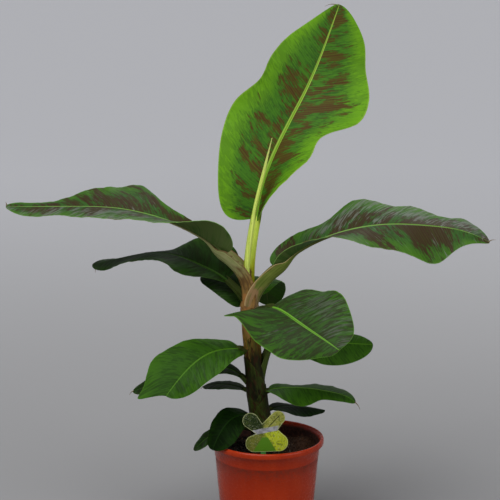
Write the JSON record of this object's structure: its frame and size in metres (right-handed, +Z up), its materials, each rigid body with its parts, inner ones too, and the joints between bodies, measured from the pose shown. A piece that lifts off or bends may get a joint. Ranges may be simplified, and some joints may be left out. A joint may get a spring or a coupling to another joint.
{
  "type": "potted banana plant",
  "caption": "Young banana plant with a leaning stem, broad patterned leaves and one rolled new leaf, in a round plastic nursery pot with soil and a plain label.",
  "frame": {"origin": "centre of the pot's flat underside", "axes": "+Z up along the pot's axis, +X to the right and -Y to the front, where the label stands"},
  "size_m": [0.8569, 0.3334, 0.9732],
  "materials": {
    "pot": "gloss",
    "soil": "matte",
    "stem": "satin",
    "leaf_new": "satin",
    "leaf_bright": "satin",
    "leaf_dark": "satin",
    "label": "satin"
  },
  "bodies": {
    "root": {"pot": "pot", "soil": "soil", "stem": "stem", "rolled_leaf": "leaf_new", "plant_label": "label", "leaf_top": "leaf_bright", "leaf_upper_left": "leaf_dark", "leaf_upper_right": "leaf_dark", "leaf_middle_front": "leaf_dark", "leaf_middle_left": "leaf_dark", "leaf_middle_left_back": "leaf_dark", "leaf_middle_back": "leaf_dark", "leaf_middle_right": "leaf_dark", "leaf_lower_left_front": "leaf_dark", "leaf_lower_left": "leaf_dark", "leaf_lower_left_back": "leaf_dark", "leaf_lower_right": "leaf_dark", "leaf_lower_right_back": "leaf_dark", "leaf_rim_front": "leaf_dark", "leaf_rim_left": "leaf_dark"}
  },
  "joints": []
}
